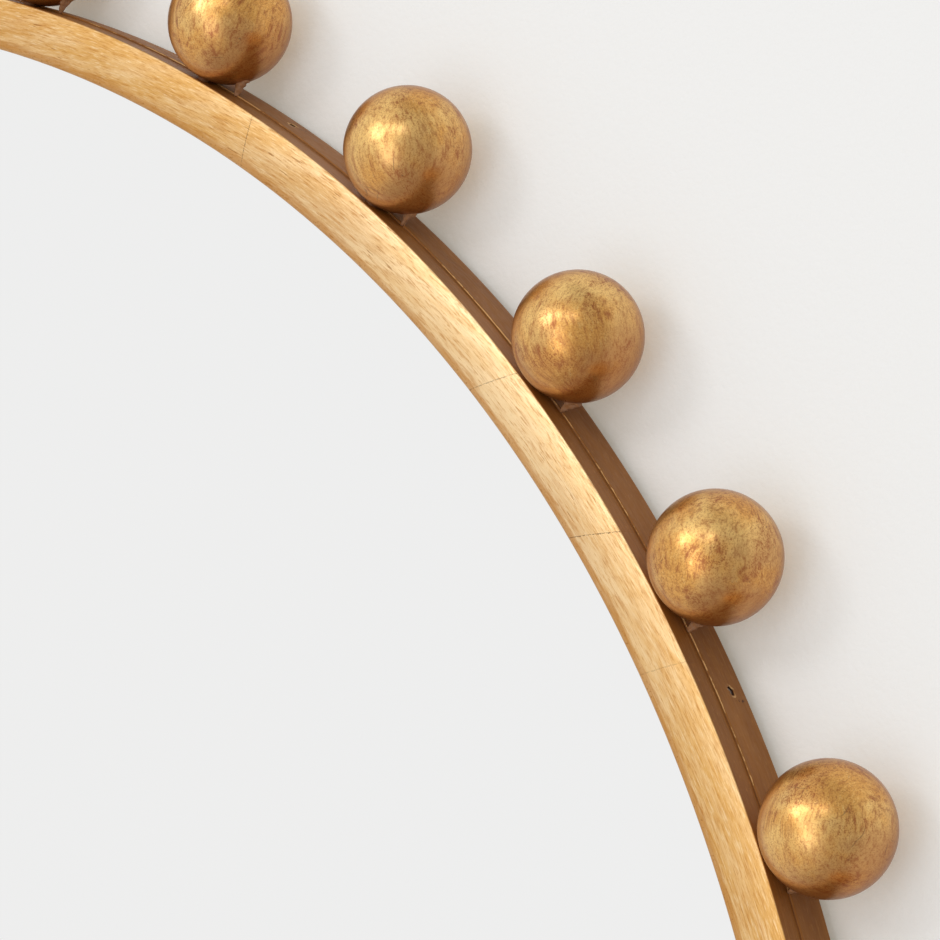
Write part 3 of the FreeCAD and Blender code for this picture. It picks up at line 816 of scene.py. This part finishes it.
def make_filler_dabs(sizes):
    """Rough dabs of filler, one beside each ball on its clockwise side.

    A dab is a tube along a line from the rim to the ball: its radius runs from the waist at the rim to the
    head at the ball as a power of the share of the way, and is made uneven by sums of sines whose phases
    differ from dab to dab. Its two ends close in a point inside the rim and inside the ball.
    """
    angles = ball_angles() - sizes.dab_offset / REAR_RADIUS
    rows, columns = 16, 24
    share = np.linspace(0, 1, rows)[None, :, None]
    turn = np.linspace(0, 2 * np.pi, columns, endpoint=False)[None, None, :]
    phase = np.arange(len(angles))[:, None, None] * 2.4
    foot, head = REAR_RADIUS - 0.8 * MM, REAR_RADIUS + 6.2 * MM
    radius = sizes.dab_waist + (sizes.dab_head - sizes.dab_waist) * share ** 1.6
    radius = radius * (1 + 0.16 * np.sin(2 * turn + phase) + 0.12 * np.sin(3 * turn - 7 * share + 2 * phase)
                       + 0.08 * np.sin(6 * turn + 19 * share + 3 * phase)
                       + 0.10 * np.sin(23 * share + 1.7 * phase))
    radius = radius * np.sqrt(np.clip(share / 0.08, 0.0, 1.0)) * np.sqrt(np.clip((1 - share) / 0.08, 0.0, 1.0))
    outward = foot + (head - foot) * share + 0 * turn
    sway = 0.35 * MM * np.sin(3 * share + phase)
    along = radius * np.cos(turn) + sway
    across = radius * np.sin(turn) + 0 * phase
    base = angles[:, None, None]
    x = outward * np.cos(base) + along * np.sin(base)
    z = outward * np.sin(base) - along * np.cos(base)
    points = np.stack([x, SEAM_Y + across, z], axis=-1)
    face = grid_faces(rows, columns, closed_rows=False)
    faces = (face[None] + (np.arange(len(angles)) * rows * columns)[:, None, None]).reshape(-1, 4)
    piece = new_piece("filler_dabs", points, faces)
    merge_doubles(piece)
    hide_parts("filler_beads")
    return piece


def merge_doubles(piece):
    """Join the points that coincide at the poles, and turn all faces outwards."""
    work = bmesh.new()
    work.from_mesh(piece.data)
    bmesh.ops.remove_doubles(work, verts=work.verts, dist=1e-7)
    bmesh.ops.dissolve_degenerate(work, edges=work.edges, dist=1e-8)
    bmesh.ops.recalc_face_normals(work, faces=work.faces)
    work.to_mesh(piece.data)
    work.free()


# ---- The stage ------------------------------------------------------------------------

CAMERA_PLACE = (1.0652, -1.0036, 0.1314)
CAMERA_AZIMUTH = 36.533
CAMERA_ELEVATION = -6.722
CAMERA_ROLL = -0.211
CAMERA_LENS = 159.6
LIT_PLACE = Vector((0.33, 0.0, 0.33))
LAMP_DISTANCE = 2.6
# Each lamp's direction in the camera's right, up and back axes, its width and height, and its tint.
LAMPS = {
    "band": ((-0.58, -0.12, 0.80), 1.1, 1.9, (1.0, 0.99, 0.97)),
    "key": ((-0.78, 0.43, 0.46), 0.72, 0.78, (1.0, 0.985, 0.96)),
    "second": ((-0.16, 0.54, 0.83), 0.55, 0.42, (1.0, 0.99, 0.97)),
    "bridge": ((-0.50, 0.53, 0.68), 0.95, 0.50, (1.0, 0.985, 0.96)),
}


def camera_axes():
    """The camera's right, up and back directions from its azimuth, elevation and roll."""
    turn, rise = math.radians(CAMERA_AZIMUTH), math.radians(CAMERA_ELEVATION)
    back = Vector((math.sin(turn) * math.cos(rise), -math.cos(turn) * math.cos(rise), math.sin(rise)))
    right = Matrix.Rotation(math.radians(CAMERA_ROLL), 3, back) @ Vector((0, 0, 1)).cross(back).normalized()
    return right, back.cross(right), back


def make_camera():
    right, up, back = camera_axes()
    data = bpy.data.cameras.new("camera")
    data.lens = CAMERA_LENS
    data.clip_end = 60.0
    camera = bpy.data.objects.new("camera", data)
    camera.matrix_world = Matrix.Translation(CAMERA_PLACE) @ Matrix((right, up, back)).transposed().to_4x4()
    bpy.context.scene.collection.objects.link(camera)
    bpy.context.scene.camera = camera


def make_lamp(name, watts, direction, width, height, tint):
    """An area lamp aimed at the rim."""
    right, up, back = camera_axes()
    towards = (right * direction[0] + up * direction[1] + back * direction[2]).normalized()
    data = bpy.data.lights.new(name, "AREA")
    data.shape = "RECTANGLE"
    data.size, data.size_y = width, height
    data.energy = watts
    data.color = tint
    lamp = bpy.data.objects.new(name, data)
    lamp.location = LIT_PLACE + towards * LAMP_DISTANCE
    lamp.rotation_mode = "QUATERNION"
    lamp.rotation_quaternion = towards.to_track_quat("Z", "Y")
    bpy.context.scene.collection.objects.link(lamp)


def make_world(settings):
    """Even pale surroundings; the camera and mirrored rays see them at the wall's brightness.

    Mirrored rays see them dimmer towards the camera's right and towards the floor, as in a room that is
    lit from its left.
    """
    world = bpy.data.worlds.new("surroundings")
    bpy.context.scene.world = world
    world.use_nodes = True
    tree = world.node_tree
    tree.nodes.clear()
    seen = seen_rays(tree, put(tree, "ShaderNodeLightPath").outputs)
    towards = put(tree, "ShaderNodeTexCoord").outputs["Generated"]
    right, up, _ = camera_axes()
    sideways = put(tree, "ShaderNodeVectorMath", {0: towards, 1: right}, operation="DOT_PRODUCT").outputs["Value"]
    upwards = put(tree, "ShaderNodeVectorMath", {0: towards, 1: up}, operation="DOT_PRODUCT").outputs["Value"]
    lit = times(tree, step(tree, sideways, -0.10, -0.30), step(tree, upwards, -1.0, -0.70))
    bright = step(tree, lit, 0.0, 1.0, settings.surroundings * settings.dim_side, settings.surroundings)
    level = blend_value(tree, seen, settings.ambient, bright)
    shade = put(tree, "ShaderNodeBackground", {"Color": (1.0, 0.998, 0.994, 1.0), "Strength": level})
    output = put(tree, "ShaderNodeOutputWorld")
    tree.links.new(shade.outputs[0], output.inputs["Surface"])


def make_wall(settings):
    """The plain wall behind the mirror, painted on its front and clear from behind.

    Its paint has a glow of its own for the rays that see it, which lifts its picture and lights nothing.
    """
    half = 4.0
    points = np.array([[-half, 0, -half], [half, 0, -half], [half, 0, half], [-half, 0, half]])
    mesh = bpy.data.meshes.new("wall")
    mesh.from_pydata(points, [], [[0, 1, 2, 3]])
    wall = bpy.data.objects.new("wall", mesh)
    bpy.context.scene.collection.objects.link(wall)
    made, tree = fresh("wall_paint")
    place = object_place(tree)
    stipple = noise(tree, place, 420.0, 3.0, 0.55)
    path = put(tree, "ShaderNodeLightPath").outputs
    paint = put(tree, "ShaderNodeBsdfDiffuse", {"Color": colour(settings.wall)})
    relief = put(tree, "ShaderNodeBump", {"Height": stipple, "Strength": 0.6, "Distance": 0.4 * MM})
    tree.links.new(relief.outputs[0], paint.inputs["Normal"])
    glow = put(tree, "ShaderNodeEmission", {
        "Color": colour(settings.wall_glow), "Strength": seen_rays(tree, path)})
    front = put(tree, "ShaderNodeAddShader", {0: paint.outputs[0], 1: glow.outputs[0]})
    clear = put(tree, "ShaderNodeBsdfTransparent")
    behind = maths(tree, "MAXIMUM", put(tree, "ShaderNodeNewGeometry").outputs["Backfacing"],
                   path["Is Shadow Ray"])
    mixed = put(tree, "ShaderNodeMixShader", {0: behind, 1: front.outputs[0], 2: clear.outputs[0]})
    output = put(tree, "ShaderNodeOutputMaterial")
    tree.links.new(mixed.outputs[0], output.inputs["Surface"])
    dress(wall, made)


# ---- Operators ------------------------------------------------------------------------

class MIRROR_OT_front_ring(bpy.types.Operator):
    """Build the gilded front ring"""
    bl_idname = "mirror.front_ring"
    bl_label = "Front ring"

    def execute(self, context):
        piece = make_front_ring(context.scene.rim_sizes)
        dress(piece, gilded_rim_material(context.scene.leaf_colours))
        return {"FINISHED"}


class MIRROR_OT_rear_ring(bpy.types.Operator):
    """Build the toned rear ring with its brad holes"""
    bl_idname = "mirror.rear_ring"
    bl_label = "Rear ring"

    def execute(self, context):
        piece = make_rear_ring(context.scene.rim_sizes)
        dress(piece, toned_side_material(context.scene.leaf_colours))
        return {"FINISHED"}


class MIRROR_OT_balls(bpy.types.Operator):
    """Gild the turned balls and finish their dowels"""
    bl_idname = "mirror.balls"
    bl_label = "Balls"

    def execute(self, context):
        leaf = gilded_ball_material(context.scene.leaf_colours)
        for name in BALL_NODES:
            dress(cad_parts[name], leaf)
        dress(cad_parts["ball_dowels"], dowel_material(context.scene.leaf_colours))
        return {"FINISHED"}


class MIRROR_OT_filler_dabs(bpy.types.Operator):
    """Build the rough dabs of filler beside the balls"""
    bl_idname = "mirror.filler_dabs"
    bl_label = "Filler dabs"

    def execute(self, context):
        piece = make_filler_dabs(context.scene.rim_sizes)
        dress(piece, filler_material(context.scene.leaf_colours))
        return {"FINISHED"}


class MIRROR_OT_glass(bpy.types.Operator):
    """Silver the mirror glass"""
    bl_idname = "mirror.glass"
    bl_label = "Glass"

    def execute(self, context):
        dress(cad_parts["mirror_glass"], glass_material())
        return {"FINISHED"}


class MIRROR_OT_back(bpy.types.Operator):
    """Finish the board, bumpers, brads, hangers, rings and screws"""
    bl_idname = "mirror.back"
    bl_label = "Back"

    def execute(self, context):
        finishes = {
            "backing_board": board_material(),
            "wall_bumpers": rubber_material(),
            "backing_brads": plated_material("brad_steel", (0.38, 0.36, 0.33, 1.0), (1.0, 0.2, 1.0)),
            "hanger_screws": plated_material("screw_steel", (0.62, 0.60, 0.55, 1.0), (1.0, 0.2, 1.0)),
        }
        strap = plated_material("hanger_steel", (0.64, 0.62, 0.56, 1.0), (1.0, 1.0, 0.12))
        wire = plated_material("ring_wire", (0.68, 0.66, 0.61, 1.0), (0.12, 1.0, 1.0))
        for side in ("left", "right"):
            finishes["hanger_strap_" + side] = strap
            finishes["d_ring_" + side] = wire
        for name, material in finishes.items():
            dress(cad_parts[name], material)
        return {"FINISHED"}


class MIRROR_OT_stage(bpy.types.Operator):
    """Set the camera, the surroundings, the lamps and the wall"""
    bl_idname = "mirror.stage"
    bl_label = "Stage"

    def execute(self, context):
        settings = context.scene.stage_settings
        make_camera()
        make_world(settings)
        make_wall(settings)
        for name, lamp in LAMPS.items():
            make_lamp(name, getattr(settings, name), *lamp)
        return {"FINISHED"}


class MIRROR_PT_panel(bpy.types.Panel):
    """The mirror's pieces, in the order in which they are made"""
    bl_idname = "MIRROR_PT_panel"
    bl_label = "Gilded ball mirror"
    bl_space_type = "VIEW_3D"
    bl_region_type = "UI"
    bl_category = "Mirror"

    def draw(self, context):
        for operator in OPERATORS:
            self.layout.operator(operator.bl_idname)
        for group in ("rim_sizes", "leaf_colours", "stage_settings"):
            settings = getattr(context.scene, group)
            box = self.layout.box()
            for name in settings.__annotations__:
                box.prop(settings, name)


SETTINGS = {"rim_sizes": RimSizes, "leaf_colours": LeafColours, "stage_settings": StageSettings}
OPERATORS = (MIRROR_OT_front_ring, MIRROR_OT_rear_ring, MIRROR_OT_balls, MIRROR_OT_filler_dabs,
             MIRROR_OT_glass, MIRROR_OT_back, MIRROR_OT_stage)
CLASSES = (*SETTINGS.values(), *OPERATORS, MIRROR_PT_panel)


def register():
    for item in CLASSES:
        bpy.utils.register_class(item)
    for name, group in SETTINGS.items():
        setattr(bpy.types.Scene, name, bpy.props.PointerProperty(type=group))


def unregister():
    for name in SETTINGS:
        delattr(bpy.types.Scene, name)
    for item in reversed(CLASSES):
        bpy.utils.unregister_class(item)


def main():
    register()
    bpy.context.scene.view_settings.view_transform = "Standard"
    for operator in OPERATORS:
        group, name = operator.bl_idname.split(".")
        getattr(getattr(bpy.ops, group), name)()
    bpy.context.view_layer.update()


if __name__ == "__main__":
    main()
